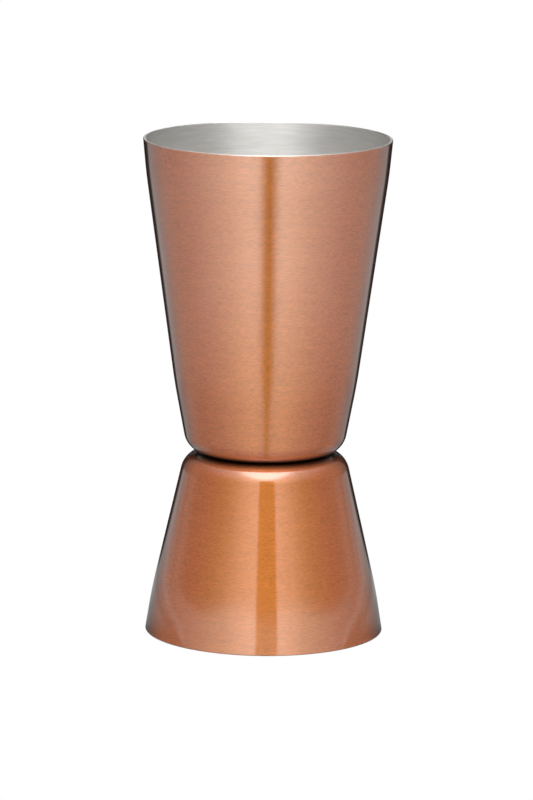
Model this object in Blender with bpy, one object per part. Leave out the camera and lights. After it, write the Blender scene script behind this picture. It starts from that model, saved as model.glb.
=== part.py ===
"""Double bar jigger: two drawn steel cups, a tall one on top and a short one upside down under it,
spot welded base to base. Metres, +Z up, origin on the axis at the plane the lower rim stands on."""

import math

import bmesh
import bpy
from mathutils import Vector

# Driving dimensions
HEIGHT = 0.085  # rim to rim
JOINT_HEIGHT = 0.0311  # plane where the two bases meet
WALL = 0.0005  # sheet thickness, the same all over each cup
RIM_EDGE = 0.0001  # radius that breaks both edges of a cut rim
BASE_GAP = 0.0003  # space between the two bases, filled by the welds
UPPER_RIM_RADIUS = 0.02114
LOWER_RIM_RADIUS = 0.02037

# Each wall is a stack of cones, listed from the rim as (depth below the rim where the cone ends, taper).
# Taper is radius lost per unit of depth. The last cone has no end: it runs to the base.
UPPER_CONES = [(0.0059, 0.095), (0.0419, 0.1394), (None, 0.189)]
LOWER_CONES = [(0.0071, 0.1607), (None, 0.2303)]
BEND_RADIUS = 0.030  # soft bend between two cones
UPPER_CORNER_RADIUS = 0.0037  # outside radius from wall to base
LOWER_CORNER_RADIUS = 0.0038

WELD_COUNT = 3
WELD_RADIUS = 0.0015
WELD_THICKNESS = 0.0002
WELD_CIRCLE_RADIUS = 0.0045  # circle through the weld centres

# Mesh fineness
TURN_STEPS = 64
BEND_STEPS = 3
CORNER_STEPS = 8
EDGE_STEPS = 2
WELD_STEPS = 24

COPPER = (0.64, 0.30, 0.17, 1.0)
WELD_STEEL = (0.42, 0.41, 0.40, 1.0)


def metal(name, colour, roughness):
    """A plain metal material."""
    material = bpy.data.materials.new(name)
    material.use_nodes = True
    shader = material.node_tree.nodes["Principled BSDF"]
    shader.inputs["Base Color"].default_value = colour
    shader.inputs["Metallic"].default_value = 1.0
    shader.inputs["Roughness"].default_value = roughness
    return material


def rounded_corner(before, corner, after, radius, steps):
    """Arc that rounds a corner of an outline, as (point, outward normal) pairs."""
    towards_before = (before - corner).normalized()
    towards_after = (after - corner).normalized()
    half_angle = towards_before.angle(towards_after) / 2
    bisector = (towards_before + towards_after).normalized()
    centre = corner + bisector * radius / math.sin(half_angle)
    reach = radius / math.tan(half_angle)
    start = (corner + towards_before * reach - centre).normalized()
    end = (corner + towards_after * reach - centre).normalized()
    arc = []
    for step in range(steps + 1):
        normal = start.slerp(end, step / steps)
        arc.append((centre + normal * radius, normal))
    return arc


def wall_outline(depth, rim_radius, cones, corner_radius):
    """Outside of a cup from just under its rim to its flat base, as (point, outward normal) pairs.
    A point is (radius, height above the base)."""
    corners = [Vector((rim_radius, depth))]
    for end_depth, taper in cones:
        run = (depth if end_depth is None else end_depth) - (depth - corners[-1].y)
        corners.append(corners[-1] - Vector((taper * run, run)))
    corners.append(Vector((0.0, 0.0)))

    along = (corners[1] - corners[0]).normalized()
    rim_normal = Vector((-along.y, along.x))
    outline = [(corners[0] + along * RIM_EDGE, rim_normal)]
    last_corner = len(corners) - 2
    for index in range(1, last_corner + 1):
        at_base = index == last_corner
        radius = corner_radius if at_base else BEND_RADIUS
        steps = CORNER_STEPS if at_base else BEND_STEPS
        outline += rounded_corner(corners[index - 1], corners[index], corners[index + 1], radius, steps)
    outline.append((corners[-1], Vector((0.0, -1.0))))
    return outline


def rim_outline(inner, outer, depth):
    """The cut rim from the inside of the wall to the outside: a flat with both edges broken."""
    points = []
    for side, direction in ((inner, 1), (outer, -1)):
        arc = []
        for step in range(1, EDGE_STEPS + 1):
            turn = math.pi / 2 * step / EDGE_STEPS
            across = direction * RIM_EDGE * (1 - math.cos(turn))
            arc.append(Vector((side.x + across, depth - RIM_EDGE * (1 - math.sin(turn)))))
        points += arc if direction == 1 else arc[::-1]
    return points


def turned(name, outline, steps, material):
    """Object made by turning an outline of (radius, height) points once round Z."""
    bm = bmesh.new()
    verts = [bm.verts.new((point.x, 0.0, point.y)) for point in outline]
    edges = [bm.edges.new(pair) for pair in zip(verts, verts[1:])]
    bmesh.ops.spin(
        bm, geom=verts + edges, axis=(0, 0, 1), cent=(0, 0, 0), angle=2 * math.pi, steps=steps, use_merge=True
    )
    bmesh.ops.remove_doubles(bm, verts=bm.verts, dist=1e-7)
    bmesh.ops.recalc_face_normals(bm, faces=bm.faces)
    mesh = bpy.data.meshes.new(name)
    bm.to_mesh(mesh)
    bm.free()
    mesh.materials.append(material)
    mesh.shade_smooth()
    mesh.set_sharp_from_angle(angle=math.radians(35))
    piece = bpy.data.objects.new(name, mesh)
    bpy.context.collection.objects.link(piece)
    return piece


def make_cup(name, depth, rim_radius, cones, corner_radius, material):
    """One cup standing on its base: the inside is the outside moved in by the sheet's thickness."""
    outside = wall_outline(depth, rim_radius, cones, corner_radius)
    inside = [point - normal * WALL for point, normal in outside]
    outside = [point for point, _ in outside]
    # The wall leans, so the inside's first point is brought back level with the outside's.
    inside[0].y = outside[0].y
    outline = inside[::-1] + rim_outline(inside[0], outside[0], depth) + outside
    return turned(name, outline, TURN_STEPS, material)


def make_weld(name, material):
    """One weld nugget: a thin disc centred on its own origin."""
    half = WELD_THICKNESS / 2
    outline = [Vector(point) for point in ((0.0, half), (WELD_RADIUS, half), (WELD_RADIUS, -half), (0.0, -half))]
    return turned(name, outline, WELD_STEPS, material)


for old in list(bpy.data.objects):
    bpy.data.objects.remove(old, do_unlink=True)

jigger = bpy.data.objects.new("bar_jigger", None)
bpy.context.collection.objects.link(jigger)

upper_cup = make_cup(
    "upper_cup",
    HEIGHT - JOINT_HEIGHT - BASE_GAP / 2,
    UPPER_RIM_RADIUS,
    UPPER_CONES,
    UPPER_CORNER_RADIUS,
    metal("upper_cup_copper", COPPER, 0.3),
)
upper_cup.location.z = JOINT_HEIGHT + BASE_GAP / 2
upper_cup.parent = jigger

# The lower cup is the same kind of piece, turned over so that its rim is at the bottom.
lower_cup = make_cup(
    "lower_cup",
    JOINT_HEIGHT - BASE_GAP / 2,
    LOWER_RIM_RADIUS,
    LOWER_CONES,
    LOWER_CORNER_RADIUS,
    metal("lower_cup_copper", COPPER, 0.3),
)
lower_cup.location.z = JOINT_HEIGHT - BASE_GAP / 2
lower_cup.rotation_euler.x = math.pi
lower_cup.parent = jigger

for number in range(WELD_COUNT):
    spot_weld = make_weld(f"spot_weld_{number + 1}", metal(f"spot_weld_{number + 1}_steel", WELD_STEEL, 0.5))
    angle = 2 * math.pi * number / WELD_COUNT
    spot_weld.location = (
        WELD_CIRCLE_RADIUS * math.cos(angle),
        WELD_CIRCLE_RADIUS * math.sin(angle),
        JOINT_HEIGHT,
    )
    spot_weld.parent = jigger
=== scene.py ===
"""Looks for a double bar jigger: two drawn steel cups welded base to base, copper finished and
lacquered outside, plain brushed steel inside, standing on a lit white table."""

import math
import bmesh
import bpy
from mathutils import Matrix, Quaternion, Vector


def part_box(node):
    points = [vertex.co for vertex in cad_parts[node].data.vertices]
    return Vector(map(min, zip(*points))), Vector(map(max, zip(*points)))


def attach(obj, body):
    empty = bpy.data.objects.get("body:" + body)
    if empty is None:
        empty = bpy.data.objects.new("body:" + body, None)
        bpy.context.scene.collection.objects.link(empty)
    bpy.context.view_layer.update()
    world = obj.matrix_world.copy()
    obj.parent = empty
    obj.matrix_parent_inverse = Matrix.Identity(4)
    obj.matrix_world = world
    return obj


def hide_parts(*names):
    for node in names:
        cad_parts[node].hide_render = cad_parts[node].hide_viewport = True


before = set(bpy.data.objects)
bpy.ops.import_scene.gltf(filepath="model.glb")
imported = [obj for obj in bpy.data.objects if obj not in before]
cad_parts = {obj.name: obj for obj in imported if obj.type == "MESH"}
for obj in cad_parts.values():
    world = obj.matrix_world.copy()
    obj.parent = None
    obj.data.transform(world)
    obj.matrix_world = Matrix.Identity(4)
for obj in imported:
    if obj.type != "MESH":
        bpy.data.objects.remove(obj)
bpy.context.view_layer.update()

# ---------------------------------------------------------------------------------------------
# Lower cup. The short measure, deep drawn from half a millimetre of stainless steel and turned
# over, so that it stands on its own rim. It is brushed while it spins on a lathe, then copper
# plated and lacquered outside; the inside and the cut rim stay bare steel.

WALL = 0.0005
RIM_ROUND = 0.00017  # the cut rim is tumbled until both its edges are round
BEND_RADIUS = 0.100  # soft bend between two cones of a wall
BASE_SEAM = 0.00002  # what is left of the space between the two bases once they are welded
TURN_STEPS = 192
CORNER_STEPS = 32
BEND_STEPS = 16
RIM_STEPS = 8
RIM_RING = 1.4  # a ring this many rounds below the rim keeps the wall's shading straight
RING_SPACING = 0.0015
CLOSE_RING = 0.0001  # a ring this near each end of a straight stretch keeps its shading flat
ON_AXIS = 1e-6  # an outline's point that is nearer to the axis than this is on it
COPPER_SIDE = 0
STEEL_SIDE = 1


def rounded_corner(before, corner, after, radius, steps):
    """Arc that rounds a corner of an outline, as (point, outward normal) pairs."""
    towards_before = (before - corner).normalized()
    towards_after = (after - corner).normalized()
    half_angle = towards_before.angle(towards_after) / 2
    bisector = (towards_before + towards_after).normalized()
    centre = corner + bisector * radius / math.sin(half_angle)
    reach = radius / math.tan(half_angle)
    start = (corner + towards_before * reach - centre).normalized()
    end = (corner + towards_after * reach - centre).normalized()
    arc = []
    for step in range(steps + 1):
        normal = start.slerp(end, step / steps)
        arc.append((centre + normal * radius, normal))
    return arc


def with_rings(outline):
    """The outline with its long straight stretches cut into rings, so that shading stays true."""
    full = [outline[0]]
    for start, end in zip(outline, outline[1:]):
        length = (end[0] - start[0]).length
        parts = max(1, int(length // RING_SPACING))
        cuts = [part / parts for part in range(1, parts)]
        if length > 4 * CLOSE_RING:
            cuts = [CLOSE_RING / length, *cuts, 1 - CLOSE_RING / length]
        for share in (*cuts, 1.0):
            full.append((start[0].lerp(end[0], share), start[1].slerp(end[1], share)))
    return full


def wall_outline(depth, rim_radius, cones, corner_radius):
    """Outside of a cup from under its rim to the middle of its base, as (point, outward normal)
    pairs; a point is (radius, height above the base). `cones` run down from the rim: each has the
    depth below the rim where it ends, None for the base, and the radius that it loses per metre."""
    corners = [Vector((rim_radius, depth))]
    for end_depth, taper in cones:
        run = (depth if end_depth is None else end_depth) - (depth - corners[-1].y)
        corners.append(corners[-1] - Vector((taper * run, run)))
    corners.append(Vector((0.0, 0.0)))
    along = (corners[1] - corners[0]).normalized()
    across = Vector((-along.y, along.x))
    outline = [(corners[0] + along * RIM_ROUND * share, across) for share in (1.0, RIM_RING)]
    for index in range(1, len(corners) - 1):
        before, corner, after = corners[index - 1 : index + 2]
        at_base = index == len(corners) - 2
        radius, steps = (corner_radius, CORNER_STEPS) if at_base else (BEND_RADIUS, BEND_STEPS)
        outline += rounded_corner(before, corner, after, radius, steps)
    outline.append((corners[-1], Vector((0.0, -1.0))))
    return with_rings(outline)


def rim_outline(inner, outer, depth):
    """The two rounds of a rim: from the inside of the wall up, and down to the outside."""
    inside, outside = [], []
    for step in range(1, RIM_STEPS + 1):
        turn = math.pi / 2 * step / RIM_STEPS
        across, down = RIM_ROUND * (1 - math.cos(turn)), RIM_ROUND * (1 - math.sin(turn))
        inside.append(Vector((inner.x + across, depth - down)))
        outside.append(Vector((outer.x - across, depth - down)))
    return inside, outside[::-1]


def turned_cup(name, depth, rim_radius, cones, corner_radius):
    """One cup standing on its base, turned from its outline, with a copper and a steel side."""
    wall = wall_outline(depth, rim_radius, cones, corner_radius)
    outside = [point for point, _ in wall]
    inside = [point - normal * WALL for point, normal in wall]
    inside[0].y = outside[0].y
    rim_in, rim_out = rim_outline(inside[0], outside[0], depth)
    bare = inside[::-1] + rim_in + rim_out[: len(rim_out) // 2]
    outline = bare + rim_out[len(rim_out) // 2 :] + outside

    bm = bmesh.new()
    angles = [2 * math.pi * step / TURN_STEPS for step in range(TURN_STEPS)]
    rings = []
    for point in outline:
        if point.x < ON_AXIS:
            rings.append([bm.verts.new((0.0, 0.0, point.y))])
            continue
        ring = [(point.x * math.cos(angle), point.x * math.sin(angle), point.y) for angle in angles]
        rings.append([bm.verts.new(place) for place in ring])
    for index, (first, second) in enumerate(zip(rings, rings[1:])):
        side = STEEL_SIDE if index < len(bare) - 1 else COPPER_SIDE
        for step in range(TURN_STEPS):
            after = (step + 1) % TURN_STEPS
            corners = [first[step % len(first)], first[after % len(first)]]
            corners += [second[after % len(second)], second[step % len(second)]]
            face = bm.faces.new(list(dict.fromkeys(corners)))
            face.material_index = side
            face.smooth = True
    bmesh.ops.recalc_face_normals(bm, faces=bm.faces)
    mesh = bpy.data.meshes.new(name)
    bm.to_mesh(mesh)
    bm.free()
    cup = bpy.data.objects.new(name, mesh)
    bpy.context.scene.collection.objects.link(cup)
    return cup


def add_math(tree, operation, *values):
    """A math node fed by sockets or numbers. Returns its output."""
    node = tree.nodes.new("ShaderNodeMath")
    node.operation = operation
    for socket, value in zip(node.inputs, values):
        if isinstance(value, bpy.types.NodeSocket):
            tree.links.new(value, socket)
        else:
            socket.default_value = value
    return node.outputs[0]


def add_range(tree, value, low, high, to_low=0.0, to_high=1.0, smooth=True):
    """A map range node on one value, eased at both ends if `smooth`. Returns its output."""
    node = tree.nodes.new("ShaderNodeMapRange")
    node.interpolation_type = "SMOOTHSTEP" if smooth else "LINEAR"
    for name, number in (("From Min", low), ("From Max", high), ("To Min", to_low), ("To Max", to_high)):
        node.inputs[name].default_value = number
    tree.links.new(value, node.inputs["Value"])
    return node.outputs["Result"]


NEAR_AXIS = 1e-5  # the brushing reads no point as nearer to the axis than this
OUTWARD_SHARE = 0.7  # distance along the outline that a step outwards counts for
FINE_CONTRAST = (0.36, 0.64)
BROAD_CONTRAST = (0.3, 0.7)
BROAD_LINES = 0.12  # broad bands for each fine line
BROAD_STROKES = 0.15  # changes in a broad band for each change in a fine line
NOISE_ROUGHNESS = 0.6


def build_brushing():
    """Shader group: lines brushed round the Z axis. They run round walls and in circles on a base,
    and they have no seam, because the noise is read on a circle and not on an unrolled strip."""
    group = bpy.data.node_groups.new("lathe_brushing", "ShaderNodeTree")
    face = group.interface
    for name, number in (("Lines per metre", 5000.0), ("Strokes per turn", 40.0), ("Seed", 0.0)):
        face.new_socket(name, in_out="INPUT", socket_type="NodeSocketFloat").default_value = number
    for name in ("Fine Lines", "Broad Bands"):
        face.new_socket(name, in_out="OUTPUT", socket_type="NodeSocketFloat")
    start = group.nodes.new("NodeGroupInput")
    end = group.nodes.new("NodeGroupOutput")
    place = group.nodes.new("ShaderNodeTexCoord")
    split = group.nodes.new("ShaderNodeSeparateXYZ")
    group.links.new(place.outputs["Object"], split.inputs[0])
    x, y, z = split.outputs
    squares = add_math(group, "ADD", add_math(group, "MULTIPLY", x, x), add_math(group, "MULTIPLY", y, y))
    radius = add_math(group, "MAXIMUM", add_math(group, "SQRT", squares), NEAR_AXIS)
    # Distance along the outline: mostly height on a wall, radius on a base.
    along = add_math(group, "ADD", z, add_math(group, "MULTIPLY", radius, OUTWARD_SHARE))
    around = add_math(group, "DIVIDE", start.outputs["Strokes per turn"], 2 * math.pi)

    def brushed_noise(lines, strokes, detail):
        """Noise stretched round the axis: `lines` per metre across the strokes."""
        point = group.nodes.new("ShaderNodeCombineXYZ")
        for socket, part in zip(point.inputs, (x, y)):
            unit = add_math(group, "DIVIDE", part, radius)
            group.links.new(add_math(group, "MULTIPLY", unit, strokes), socket)
        group.links.new(add_math(group, "MULTIPLY", along, lines), point.inputs["Z"])
        noise = group.nodes.new("ShaderNodeTexNoise")
        noise.noise_dimensions = "4D"
        noise.inputs["Scale"].default_value = 1.0
        noise.inputs["Detail"].default_value = detail
        noise.inputs["Roughness"].default_value = NOISE_ROUGHNESS
        group.links.new(point.outputs[0], noise.inputs["Vector"])
        group.links.new(start.outputs["Seed"], noise.inputs["W"])
        return noise.outputs["Fac"]

    fine = brushed_noise(start.outputs["Lines per metre"], around, detail=3.0)
    broad_lines = add_math(group, "MULTIPLY", start.outputs["Lines per metre"], BROAD_LINES)
    broad_around = add_math(group, "MULTIPLY", around, BROAD_STROKES)
    broad = brushed_noise(broad_lines, broad_around, detail=2.0)
    group.links.new(add_range(group, fine, *FINE_CONTRAST), end.inputs["Fine Lines"])
    group.links.new(add_range(group, broad, *BROAD_CONTRAST), end.inputs["Broad Bands"])
    return group


brushing = build_brushing()


def add_brushing(tree, lines, strokes, seed):
    """Places the brushing group in a material with this surface's own values."""
    node = tree.nodes.new("ShaderNodeGroup")
    node.node_tree = brushing
    node.inputs["Lines per metre"].default_value = lines
    node.inputs["Strokes per turn"].default_value = strokes
    node.inputs["Seed"].default_value = seed
    return node.outputs["Fine Lines"], node.outputs["Broad Bands"]


def add_mix(tree, share, first, second):
    """A colour mix by `share`. Returns its output."""
    node = tree.nodes.new("ShaderNodeMix")
    node.data_type = "RGBA"
    tree.links.new(share, node.inputs["Factor"])
    for socket, colour in ((node.inputs["A"], first), (node.inputs["B"], second)):
        if isinstance(colour, bpy.types.NodeSocket):
            tree.links.new(colour, socket)
        else:
            socket.default_value = (*colour, 1.0)
    return node.outputs["Result"]


FINE_SHARE = 0.8  # of the change in tone from line to line
BROAD_SHARE = 0.2
FACING_BLEND = 0.5
PAINTED_TURNED_TINT = (1.0, 0.85, 1.4)  # painted reflection: a plated surface that turns away is painted redder
TURNED_FACING = (0.03, 0.28)  # where that tint comes in, from 0 facing the eye to 1 edge on
EDGE_FACING = (0.42, 0.97)  # where the painted edge shade comes in
GROOVE_DEPTH = 0.00001
ACROSS_LINES = 0.25  # quarter turn: highlights spread across the brushed lines


def brushed_metal(
    name, tones, metallic, roughness, spread, lines, strokes, seed, relief, painted_edge_shade=None
):
    """A lathe-brushed metal. `tones` are its dull and bright colours, `roughness` its smoothest and
    roughest lines, `spread` how far the brushing draws highlights out across the lines, and
    `painted_edge_shade` the painted dark shade that a plated one turns to edge on, after a painted tint."""
    material = bpy.data.materials.new(name)
    material.use_nodes = True
    tree = material.node_tree
    shader = tree.nodes["Principled BSDF"]
    fine, broad = add_brushing(tree, lines, strokes, seed)
    fine_part = add_math(tree, "MULTIPLY", fine, FINE_SHARE)
    broad_part = add_math(tree, "MULTIPLY", broad, BROAD_SHARE)
    colour = add_mix(tree, add_math(tree, "ADD", fine_part, broad_part), *tones)
    # Painted reflection and painted shade: the colour is tinted, then darkened nearly to black, as the
    # surface turns edge on to the eye.
    if painted_edge_shade:
        grazing = tree.nodes.new("ShaderNodeLayerWeight")
        grazing.inputs["Blend"].default_value = FACING_BLEND
        painted_redder = tree.nodes.new("ShaderNodeVectorMath")
        painted_redder.operation = "MULTIPLY"
        tree.links.new(colour, painted_redder.inputs[0])
        painted_redder.inputs[1].default_value = PAINTED_TURNED_TINT
        turned = add_range(tree, grazing.outputs["Facing"], *TURNED_FACING)
        colour = add_mix(tree, turned, colour, painted_redder.outputs[0])
        share = add_range(tree, grazing.outputs["Facing"], *EDGE_FACING)
        colour = add_mix(tree, share, colour, painted_edge_shade)
    tree.links.new(colour, shader.inputs["Base Color"])
    rough = add_range(tree, fine, 0.0, 1.0, *roughness, smooth=False)
    tree.links.new(rough, shader.inputs["Roughness"])
    shader.inputs["Metallic"].default_value = metallic
    shader.inputs["Anisotropic"].default_value = spread
    shader.inputs["Anisotropic Rotation"].default_value = ACROSS_LINES
    tangent = tree.nodes.new("ShaderNodeTangent")
    tangent.direction_type = "RADIAL"
    tangent.axis = "Z"
    tree.links.new(tangent.outputs[0], shader.inputs["Tangent"])
    bump = tree.nodes.new("ShaderNodeBump")
    bump.inputs["Strength"].default_value = relief
    bump.inputs["Distance"].default_value = GROOVE_DEPTH
    tree.links.new(fine, bump.inputs["Height"])
    tree.links.new(bump.outputs[0], shader.inputs["Normal"])
    return material, shader


RIM_WEAR = 0.0003  # handling rubs the plate thin this far down from the rim
WEAR_PER_METRE = 1200.0
WEAR_CONTRAST = (0.35, 0.7)
WEAR_LEVELS = (0.25, 0.75)  # least and most of the steel that shows at the rim


def build_plate_wear_and_painted_light():
    """Shader group: painted light up a cup's copper plate, and how much of the plate is worn off. It
    paints shade dark into the joint between the cups, out to the painted shade's depth, and then
    paints light that goes from its level at the base to its level at the rim."""
    group = bpy.data.node_groups.new("plate_wear_and_painted_light", "ShaderNodeTree")
    face = group.interface
    defaults = {"Painted Joint Shade Depth": 0.001, "Rim Height": 0.05, "Base Painted Light": 1.0, "Rim Painted Light": 1.0}
    for name, number in defaults.items():
        face.new_socket(name, in_out="INPUT", socket_type="NodeSocketFloat").default_value = number
    for name in ("Painted Light", "Worn"):
        face.new_socket(name, in_out="OUTPUT", socket_type="NodeSocketFloat")
    start = group.nodes.new("NodeGroupInput")
    end = group.nodes.new("NodeGroupOutput")
    place = group.nodes.new("ShaderNodeTexCoord")
    split = group.nodes.new("ShaderNodeSeparateXYZ")
    group.links.new(place.outputs["Object"], split.inputs[0])
    height = add_math(group, "MAXIMUM", split.outputs["Z"], 0.0)
    # Painted shade: black at the joint, rising to full colour over the painted shade's depth.
    out_of_painted_shade = add_math(group, "DIVIDE", height, start.outputs["Painted Joint Shade Depth"])
    out_of_painted_shade = add_math(group, "MINIMUM", out_of_painted_shade, 1.0)
    # Painted light: the colour is scaled from the base's level to the rim's level up the cup.
    up_wall = add_math(group, "DIVIDE", height, start.outputs["Rim Height"])
    change = add_math(group, "SUBTRACT", start.outputs["Rim Painted Light"], start.outputs["Base Painted Light"])
    tone = add_math(group, "MULTIPLY_ADD", up_wall, change, start.outputs["Base Painted Light"])
    group.links.new(add_math(group, "MULTIPLY", tone, out_of_painted_shade), end.inputs["Painted Light"])
    below_rim = add_math(group, "SUBTRACT", start.outputs["Rim Height"], height)
    at_rim = add_range(group, below_rim, 0.0, RIM_WEAR, 1.0, 0.0)
    patches = group.nodes.new("ShaderNodeTexNoise")
    patches.inputs["Scale"].default_value = WEAR_PER_METRE
    patches.inputs["Detail"].default_value = 3.0
    group.links.new(place.outputs["Object"], patches.inputs["Vector"])
    rubbed = add_range(group, patches.outputs["Fac"], *WEAR_CONTRAST, *WEAR_LEVELS)
    group.links.new(add_math(group, "MULTIPLY", at_rim, rubbed), end.inputs["Worn"])
    return group


plate_wear_and_painted_light = build_plate_wear_and_painted_light()
PLATE_SHARE = 0.4  # how metallic the plate is: the rest of its colour is soft, like a haze
EDGE_SHARE = 0.3  # how much of its shine the plate keeps edge on
# painted dark shade at the plate's edges, seen edge on
PAINTED_EDGE_SHADE = (0.02, 0.008, 0.004)
WORN_TONE = (0.72, 0.62, 0.52)  # steel that shows through thin plate
LACQUER_ROUGHNESS = 0.04
LACQUER_IOR = 2.27  # above a real lacquer's 1.5, because it carries the plate's own shine too


def lacquered_copper(name, tones, seed, painted_joint_shade_depth, rim_height, base_painted_light, rim_painted_light):
    """The outside of a cup: brushed copper plate under clear lacquer, worn thin at the rim."""
    material, shader = brushed_metal(
        name,
        tones=tones,
        painted_edge_shade=PAINTED_EDGE_SHADE,
        metallic=PLATE_SHARE,
        roughness=(0.35, 0.43),
        spread=0.98,
        lines=12000.0,
        strokes=150.0,
        seed=seed,
        relief=0.5,
    )
    tree = material.node_tree
    plate = tree.nodes.new("ShaderNodeGroup")
    plate.node_tree = plate_wear_and_painted_light
    plate.inputs["Painted Joint Shade Depth"].default_value = painted_joint_shade_depth
    plate.inputs["Rim Height"].default_value = rim_height
    plate.inputs["Base Painted Light"].default_value = base_painted_light
    plate.inputs["Rim Painted Light"].default_value = rim_painted_light
    # Painted shade in the joint and painted light graded up the cup scale the colour; the wear at the rim
    # is real.
    with_painted_light = tree.nodes.new("ShaderNodeVectorMath")
    with_painted_light.operation = "SCALE"
    tree.links.new(shader.inputs["Base Color"].links[0].from_socket, with_painted_light.inputs[0])
    tree.links.new(plate.outputs["Painted Light"], with_painted_light.inputs["Scale"])
    worn = add_mix(tree, plate.outputs["Worn"], with_painted_light.outputs[0], WORN_TONE)
    tree.links.new(worn, shader.inputs["Base Color"])
    shader.inputs["Specular Tint"].default_value = (EDGE_SHARE, EDGE_SHARE, EDGE_SHARE, 1.0)
    shader.inputs["Coat Weight"].default_value = 1.0
    shader.inputs["Coat Roughness"].default_value = LACQUER_ROUGHNESS
    shader.inputs["Coat IOR"].default_value = LACQUER_IOR
    return material


_, lower_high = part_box("lower_cup")
upper_low, upper_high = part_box("upper_cup")
joint_height = (lower_high.z + upper_low.z) / 2
lower_depth = joint_height - BASE_SEAM / 2

lower_copper = lacquered_copper(
    "lower_copper",
    tones=((0.55, 0.168, 0.028), (0.85, 0.268, 0.046)),
    seed=1.0,
    # painted shade in the joint, and painted light graded from the cup's base to its rim
    painted_joint_shade_depth=0.0008,
    rim_height=lower_depth,
    base_painted_light=1.03,
    rim_painted_light=1.15,
)

steel, _ = brushed_metal(
    "bare_steel",
    tones=((0.86, 0.845, 0.82), (0.97, 0.96, 0.94)),
    metallic=1.0,
    roughness=(0.46, 0.56),
    spread=0.72,
    lines=5000.0,
    strokes=30.0,
    seed=2.0,
    relief=0.3,
)

LOWER_CONES = [(0.0071, 0.1607), (None, 0.2303)]
LOWER_CORNER_RADIUS = 0.0038

lower_cup = turned_cup(
    "lower_measure",
    lower_depth,
    lower_high.x,
    LOWER_CONES,
    LOWER_CORNER_RADIUS,
)
lower_cup.rotation_euler.x = math.pi
lower_cup.location.z = lower_depth
lower_cup.data.materials.append(lower_copper)
lower_cup.data.materials.append(steel)
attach(lower_cup, "root")
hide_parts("lower_cup")

# ---------------------------------------------------------------------------------------------
# Spot welds. Three nuggets of fused steel that hold the two bases together, made with a pair of
# round electrodes pressed on the two floors. Each leaves a dull, straw-coloured spot on both.

FUSED_TONES = ((0.30, 0.28, 0.26), (0.55, 0.53, 0.50))
FUSED_ROUGHNESS = (0.45, 0.7)
GRAINS_PER_METRE = 3000.0
GRAIN_CONTRAST = (0.3, 0.7)
GRAIN_DEPTH = 0.00003
STRAW_TONE = (0.52, 0.42, 0.27)
STRAW_SHARE = 0.7
SPOT_RADIUS = 0.0015
SPOT_FADE = 0.0006
FAR_AWAY = 1.0  # farther from a weld than any part of the cups

fused_steel = bpy.data.materials.new("fused_steel")
fused_steel.use_nodes = True
tree = fused_steel.node_tree
shader = tree.nodes["Principled BSDF"]
place = tree.nodes.new("ShaderNodeTexCoord")
grains = tree.nodes.new("ShaderNodeTexNoise")
grains.inputs["Scale"].default_value = GRAINS_PER_METRE
grains.inputs["Detail"].default_value = 5.0
tree.links.new(place.outputs["Object"], grains.inputs["Vector"])
tree.links.new(add_mix(tree, grains.outputs["Fac"], *FUSED_TONES), shader.inputs["Base Color"])
roughness = add_range(tree, grains.outputs["Fac"], *GRAIN_CONTRAST, *FUSED_ROUGHNESS)
tree.links.new(roughness, shader.inputs["Roughness"])
shader.inputs["Metallic"].default_value = 1.0
bump = tree.nodes.new("ShaderNodeBump")
bump.inputs["Strength"].default_value = 0.4
bump.inputs["Distance"].default_value = GRAIN_DEPTH
tree.links.new(grains.outputs["Fac"], bump.inputs["Height"])
tree.links.new(bump.outputs[0], shader.inputs["Normal"])

tree = steel.node_tree
shader = tree.nodes["Principled BSDF"]
place = tree.nodes.new("ShaderNodeTexCoord")
nearest = FAR_AWAY
for number in (1, 2, 3):
    name = f"spot_weld_{number}"
    weld_low, weld_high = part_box(name)
    weld = bpy.data.objects[name]
    weld.data.materials.clear()
    weld.data.materials.append(fused_steel)
    apart = tree.nodes.new("ShaderNodeVectorMath")
    apart.operation = "DISTANCE"
    tree.links.new(place.outputs["Object"], apart.inputs[0])
    apart.inputs[1].default_value = (
        (weld_low.x + weld_high.x) / 2,
        (weld_low.y + weld_high.y) / 2,
        WALL,
    )
    nearest = add_math(tree, "MINIMUM", apart.outputs["Value"], nearest)
spots = add_range(tree, nearest, SPOT_RADIUS - SPOT_FADE, SPOT_RADIUS + SPOT_FADE, STRAW_SHARE, 0.0)
plain = shader.inputs["Base Color"].links[0].from_socket
tree.links.new(add_mix(tree, spots, plain, STRAW_TONE), shader.inputs["Base Color"])

# ---------------------------------------------------------------------------------------------
# Upper cup. The tall measure, deep drawn from the same steel sheet, and brushed, plated and
# lacquered in the same way. It stands on the lower cup's base and is welded to it.

upper_depth = upper_high.z - joint_height - BASE_SEAM / 2

upper_copper = lacquered_copper(
    "upper_copper",
    tones=((0.44, 0.135, 0.022), (0.75, 0.239, 0.042)),
    seed=3.0,
    # painted shade in the joint, and painted light graded from the cup's base to its rim
    painted_joint_shade_depth=0.0013,
    rim_height=upper_depth,
    base_painted_light=1.31,
    rim_painted_light=1.03,
)

UPPER_CONES = [(0.0059, 0.095), (0.0419, 0.1394), (None, 0.189)]
UPPER_CORNER_RADIUS = 0.0037

upper_cup = turned_cup(
    "upper_measure",
    upper_depth,
    upper_high.x,
    UPPER_CONES,
    UPPER_CORNER_RADIUS,
)
upper_cup.location.z = joint_height + BASE_SEAM / 2
upper_cup.data.materials.append(upper_copper)
upper_cup.data.materials.append(steel)
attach(upper_cup, "root")
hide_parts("upper_cup")

# ---------------------------------------------------------------------------------------------
# Studio. A lit white table in a tent of soft light. Two large softboxes stand in front with a
# slot between them, a long one hangs overhead, and behind are two black flags with a narrow lit
# strip between them.

TABLE_REACH = 3.0
TABLE_DROP = 0.00002  # keeps the table's face clear of the rim that stands on it

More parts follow.
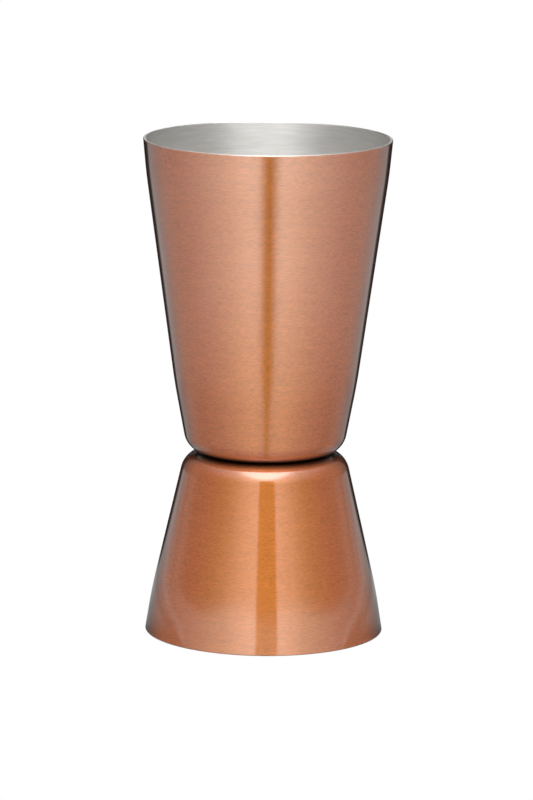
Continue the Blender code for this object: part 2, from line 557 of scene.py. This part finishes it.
table_mesh = bpy.data.meshes.new("table")
table_corners = [(x * TABLE_REACH, y * TABLE_REACH, 0) for x, y in ((-1, -1), (1, -1), (1, 1), (-1, 1))]
table_mesh.from_pydata(table_corners, [], [(0, 1, 2, 3)])
table = bpy.data.objects.new("table", table_mesh)
bpy.context.scene.collection.objects.link(table)
table.location.z = -TABLE_DROP


def add_curve(tree, value, stops):
    """Straight lines through (value, level) stops, whose values rise. Returns its output."""
    low, high = stops[0][0], stops[-1][0]
    top = max(level for _, level in stops)
    ramp = tree.nodes.new("ShaderNodeValToRGB")
    ramp.color_ramp.elements.remove(ramp.color_ramp.elements[1])
    for index, (place, level) in enumerate(stops):
        at = (place - low) / (high - low)
        element = ramp.color_ramp.elements[0] if index == 0 else ramp.color_ramp.elements.new(at)
        element.position = at
        element.color = (level / top,) * 3 + (1.0,)
    tree.links.new(add_range(tree, value, low, high, smooth=False), ramp.inputs[0])
    return add_math(tree, "MULTIPLY", ramp.outputs[0], top)


def add_window(tree, value, low, high, soft):
    """1 between low and high and 0 outside, with an edge `soft` wide centred on each of them."""
    rise = add_range(tree, value, low - soft / 2, low + soft / 2)
    fall = add_range(tree, value, high - soft / 2, high + soft / 2, 1.0, 0.0)
    return add_math(tree, "MULTIPLY", rise, fall)


def add_without(tree, light, share):
    """The light with `share` of it taken away."""
    return add_math(tree, "MULTIPLY", light, add_math(tree, "SUBTRACT", 1.0, share))


def add_compass(tree, x, y):
    """Degrees round from the front, positive to the right, of the direction (x, y)."""
    forward = add_math(tree, "MULTIPLY", y, -1.0)
    return add_math(tree, "MULTIPLY", add_math(tree, "ARCTAN2", x, forward), 180 / math.pi)


def add_white_to_camera(tree, light):
    """The light for everything but the camera, which sees plain white."""
    ray = tree.nodes.new("ShaderNodeLightPath")
    strength = tree.nodes.new("ShaderNodeMix")
    tree.links.new(ray.outputs["Is Camera Ray"], strength.inputs["Factor"])
    tree.links.new(light, strength.inputs["A"])
    strength.inputs["B"].default_value = 1.0
    return strength.outputs["Result"]


# How bright the table is by degrees from the front and by metres from the axis.
TABLE_ROUND = [
    (0, 1.0),
    (18, 1.02),
    (42, 0.72),
    (60, 0.54),
    (80, 0.39),
    (100, 0.30),
    (125, 0.30),
    (145, 0.36),
    (180, 0.36),
]
TABLE_OUT = [(0.03, 0.42), (0.065, 0.56), (0.11, 0.86), (0.16, 1.48), (0.26, 1.7), (0.5, 1.3)]
# Beside and behind the cups it is brighter: most at their foot, and less some way out. Each gain
# comes in over a range of degrees and ends over a range of metres.
FOOT_ROUND, FOOT_OUT, FOOT_GAIN = (80.0, 105.0), (0.05, 0.085), 0.8
BEHIND_ROUND, BEHIND_OUT, BEHIND_GAIN = (88.0, 118.0), (0.105, 0.14), 0.5
# The slot between the softboxes leaves a dark lane on it, and the flags shade it at the back.
LANE_MIDDLE = 1.6
LANE_ROUND, LANE_SOFT = (-6.1, 6.2), 13.0
LANE_NARROWING_OUT, LANE_NARROWING = (0.05, 0.12), (2.0, 1.0)
LANE_DARKENING_OUT, LANE_DARKENING = (0.04, 0.12), (0.6, 0.94)
SHADE_ROUND, SHADE_OUT, SHADE_LEVEL = (144.0, 152.0), (0.05, 0.09), 0.96

table_look = bpy.data.materials.new("lit_table")
table_look.use_nodes = True
tree = table_look.node_tree
tree.nodes.clear()
place = tree.nodes.new("ShaderNodeTexCoord")
split = tree.nodes.new("ShaderNodeSeparateXYZ")
tree.links.new(place.outputs["Object"], split.inputs[0])
x, y, _ = split.outputs
squares = add_math(tree, "ADD", add_math(tree, "MULTIPLY", x, x), add_math(tree, "MULTIPLY", y, y))
distance = add_math(tree, "SQRT", squares)
side = add_compass(tree, x, y)
turn = add_math(tree, "ABSOLUTE", side)
level_round = add_curve(tree, turn, TABLE_ROUND)
level_out = add_curve(tree, distance, TABLE_OUT)
light = add_math(tree, "MULTIPLY", level_round, level_out)
for where_round, where_out, gain in (
    (FOOT_ROUND, FOOT_OUT, FOOT_GAIN),
    (BEHIND_ROUND, BEHIND_OUT, BEHIND_GAIN),
):
    by_distance = add_range(tree, distance, *where_out, gain, 0.0)
    brighter = add_math(tree, "MULTIPLY", by_distance, add_range(tree, turn, *where_round))
    light = add_math(tree, "MULTIPLY", light, add_math(tree, "ADD", brighter, 1.0))
narrowing = add_range(tree, distance, *LANE_NARROWING_OUT, *LANE_NARROWING)
from_lane = add_math(tree, "MULTIPLY", add_math(tree, "SUBTRACT", side, LANE_MIDDLE), narrowing)
lane = add_window(tree, from_lane, *LANE_ROUND, LANE_SOFT)
darkening = add_range(tree, distance, *LANE_DARKENING_OUT, *LANE_DARKENING)
light = add_without(tree, light, add_math(tree, "MULTIPLY", lane, darkening))
shade = add_range(tree, distance, *SHADE_OUT, 0.0, SHADE_LEVEL)
shade = add_math(tree, "MULTIPLY", add_range(tree, turn, *SHADE_ROUND), shade)
light = add_without(tree, light, shade)
emission = tree.nodes.new("ShaderNodeEmission")
emission.inputs["Color"].default_value = (1.0, 1.0, 1.0, 1.0)
tree.links.new(add_white_to_camera(tree, light), emission.inputs["Strength"])
output = tree.nodes.new("ShaderNodeOutputMaterial")
tree.links.new(emission.outputs[0], output.inputs["Surface"])
table.data.materials.append(table_look)

# The tent by degrees from the front, the glow in it by degrees above the table's edge, and how
# much of that glow there is by degrees from the front.
TENT_ROUND = [
    (0, 0.62),
    (15, 0.62),
    (28, 0.48),
    (42, 0.3),
    (60, 0.18),
    (80, 0.16),
    (100, 0.17),
    (125, 0.21),
    (150, 0.2),
    (173, 0.2),
    (178, 2.0),
    (180, 2.0),
]
TENT_GLOW = [
    (0, 1.1),
    (5, 1.1),
    (7, 1.0),
    (8.5, 0.75),
    (10.5, 0.36),
    (13, 0.13),
    (17, 0.0),
    (90, 0.0),
]
GLOW_ROUND = [
    (0, 1.0),
    (18, 1.0),
    (28, 0.88),
    (42, 0.72),
    (60, 0.62),
    (80, 0.42),
    (100, 0.26),
    (125, 0.08),
    (150, 0.0),
    (180, 0.0),
]
GLOW_LOWERING_ROUND, GLOW_LOWERING = (30.0, 100.0), (1.0, 3.0)  # the glow is lower at the sides
# The long softbox overhead: how bright it is by degrees from its middle.
OVERHEAD = [
    (0, 4.3),
    (27, 4.2),
    (34, 2.7),
    (41, 1.3),
    (51, 0.75),
    (60, 0.45),
    (67, 0.16),
    (74, 0.03),
    (90, 0.0),
]
OVERHEAD_HEIGHT = math.radians(75)
OVERHEAD_TURN = math.radians(5)
OVERHEAD_SQUEEZE = 1.7  # the box is narrower across than from front to back
# The slot and the flags, in degrees from the front and in degrees above the table's edge.
SLOT_ROUND, SLOT_SOFT = (-7.5, 13.5), 4.0
SLOT_TOP = (28.0, 38.0)
SLOT_DARKENING_HEIGHT, SLOT_DARKENING = (2.0, 12.0), (0.65, 0.95)
FLAG_ROUND, FLAG_SOFT = (152.5, 176.0), 4.0
FLAG_TOP, FLAG_LEVEL = (25.0, 45.0), 0.93
TENT_LEVEL = 0.8  # of all the light in the tent, but not of the table's

world = bpy.data.worlds.new("light_tent")
bpy.context.scene.world = world
world.use_nodes = True
tree = world.node_tree
tree.nodes.clear()
place = tree.nodes.new("ShaderNodeTexCoord")
split = tree.nodes.new("ShaderNodeSeparateXYZ")
tree.links.new(place.outputs["Generated"], split.inputs[0])
x, y, z = split.outputs
side = add_compass(tree, x, y)
turn = add_math(tree, "ABSOLUTE", side)
height = add_math(tree, "MULTIPLY", add_math(tree, "ARCSINE", z), 180 / math.pi)
lowering = add_range(tree, turn, *GLOW_LOWERING_ROUND, *GLOW_LOWERING)
glow_height = add_math(tree, "MULTIPLY", height, lowering)
glow = add_curve(tree, glow_height, TENT_GLOW)
glow = add_math(tree, "MULTIPLY", glow, add_curve(tree, turn, GLOW_ROUND))
light = add_math(tree, "ADD", add_curve(tree, turn, TENT_ROUND), glow)
towards = tree.nodes.new("ShaderNodeVectorMath")
towards.operation = "DOT_PRODUCT"
squeezed = tree.nodes.new("ShaderNodeVectorMath")
squeezed.operation = "MULTIPLY"
squeezed.inputs[1].default_value = (OVERHEAD_SQUEEZE, 1.0, 1.0)
tree.links.new(place.outputs["Generated"], squeezed.inputs[0])
aimed = tree.nodes.new("ShaderNodeVectorMath")
aimed.operation = "NORMALIZE"
tree.links.new(squeezed.outputs[0], aimed.inputs[0])
tree.links.new(aimed.outputs[0], towards.inputs[0])
reach = math.cos(OVERHEAD_HEIGHT)
towards.inputs[1].default_value = (
    reach * math.sin(OVERHEAD_TURN),
    -reach * math.cos(OVERHEAD_TURN),
    math.sin(OVERHEAD_HEIGHT),
)
off_middle = add_math(tree, "ARCCOSINE", towards.outputs["Value"])
off_middle = add_math(tree, "MULTIPLY", off_middle, 180 / math.pi)
light = add_math(tree, "ADD", light, add_curve(tree, off_middle, OVERHEAD))
slot = add_window(tree, side, *SLOT_ROUND, SLOT_SOFT)
slot = add_math(tree, "MULTIPLY", slot, add_range(tree, height, *SLOT_TOP, 1.0, 0.0))
darkening = add_range(tree, height, *SLOT_DARKENING_HEIGHT, *SLOT_DARKENING)
light = add_without(tree, light, add_math(tree, "MULTIPLY", slot, darkening))
flags = add_window(tree, turn, *FLAG_ROUND, FLAG_SOFT)
flags = add_math(tree, "MULTIPLY", flags, add_range(tree, height, *FLAG_TOP, FLAG_LEVEL, 0.0))
light = add_without(tree, light, flags)
light = add_math(tree, "MULTIPLY", light, TENT_LEVEL)
background = tree.nodes.new("ShaderNodeBackground")
background.inputs["Color"].default_value = (1.0, 1.0, 1.0, 1.0)
tree.links.new(add_white_to_camera(tree, light), background.inputs["Strength"])
output = tree.nodes.new("ShaderNodeOutputWorld")
tree.links.new(background.outputs[0], output.inputs["Surface"])

bpy.context.scene.view_settings.view_transform = "Standard"

# ---------------------------------------------------------------------------------------------
# Camera. It stands in front and a little above, far off with a long lens, so that the cups'
# sides stay nearly straight and the tall cup's rim shows as a flat oval.

CAMERA_DISTANCE = 0.8484
CAMERA_ELEVATION = math.radians(10.88)
CAMERA_TILT = math.radians(0.56)
SENSOR_WIDTH = 36.0  # this and the lens are in millimetres
LENS = 223.9
NEAREST_SEEN = 0.01
AIM_SIDE = 0.000145
AIM_SHARE = 0.470  # of the jigger's height

camera_data = bpy.data.cameras.new("camera")
camera_data.sensor_width = SENSOR_WIDTH
camera_data.lens = LENS
camera_data.clip_start = NEAREST_SEEN
camera = bpy.data.objects.new("camera", camera_data)
bpy.context.scene.collection.objects.link(camera)
middle = Vector((0.0, 0.0, upper_high.z / 2))
outwards = Vector((0.0, -math.cos(CAMERA_ELEVATION), math.sin(CAMERA_ELEVATION)))
camera.location = middle + CAMERA_DISTANCE * outwards
aim = Vector((AIM_SIDE, 0.0, AIM_SHARE * upper_high.z))
view = (aim - camera.location).to_track_quat("-Z", "Y")
camera.rotation_mode = "QUATERNION"
camera.rotation_quaternion = view @ Quaternion((0.0, 0.0, 1.0), CAMERA_TILT)
bpy.context.scene.camera = camera
